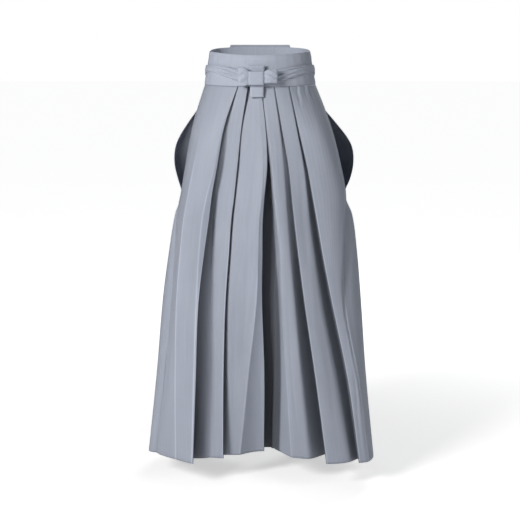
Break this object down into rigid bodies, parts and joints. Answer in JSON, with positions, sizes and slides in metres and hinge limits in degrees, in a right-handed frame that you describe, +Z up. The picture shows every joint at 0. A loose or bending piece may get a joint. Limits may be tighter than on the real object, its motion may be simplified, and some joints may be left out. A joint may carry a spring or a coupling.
{
  "type": "hakama trousers worn",
  "caption": "Worn divided hakama with pleated fronts, side openings, wrapped ties, a stiff back board and a flat cross knot, open at the waist and both hems",
  "frame": {"origin": "centre of the waist opening at the height of the front waist seam", "axes": "+Z up along the wearer's spine, -Y to the front, +X to the wearer's left"},
  "size_m": [0.5702, 0.3705, 1.0212],
  "materials": {
    "cloth": "pale blue-grey ribbed polyester, soft sheen",
    "tie_cloth": "the same cloth, folded and pressed",
    "board_cloth": "the same cloth over a stiff board"
  },
  "bodies": {
    "root": {"front_right": "cloth", "front_left": "cloth", "back_right": "cloth", "back_left": "cloth", "gore_right": "cloth", "gore_left": "cloth", "front_tie_lower": "tie_cloth", "front_tie_upper": "tie_cloth", "back_tie_right": "tie_cloth", "back_tie_left": "tie_cloth", "back_board": "board_cloth", "knot_loop_right": "tie_cloth", "knot_loop_left": "tie_cloth", "knot_wrap": "tie_cloth", "knot_tab_upper": "tie_cloth", "knot_tab_lower": "tie_cloth"}
  },
  "joints": []
}
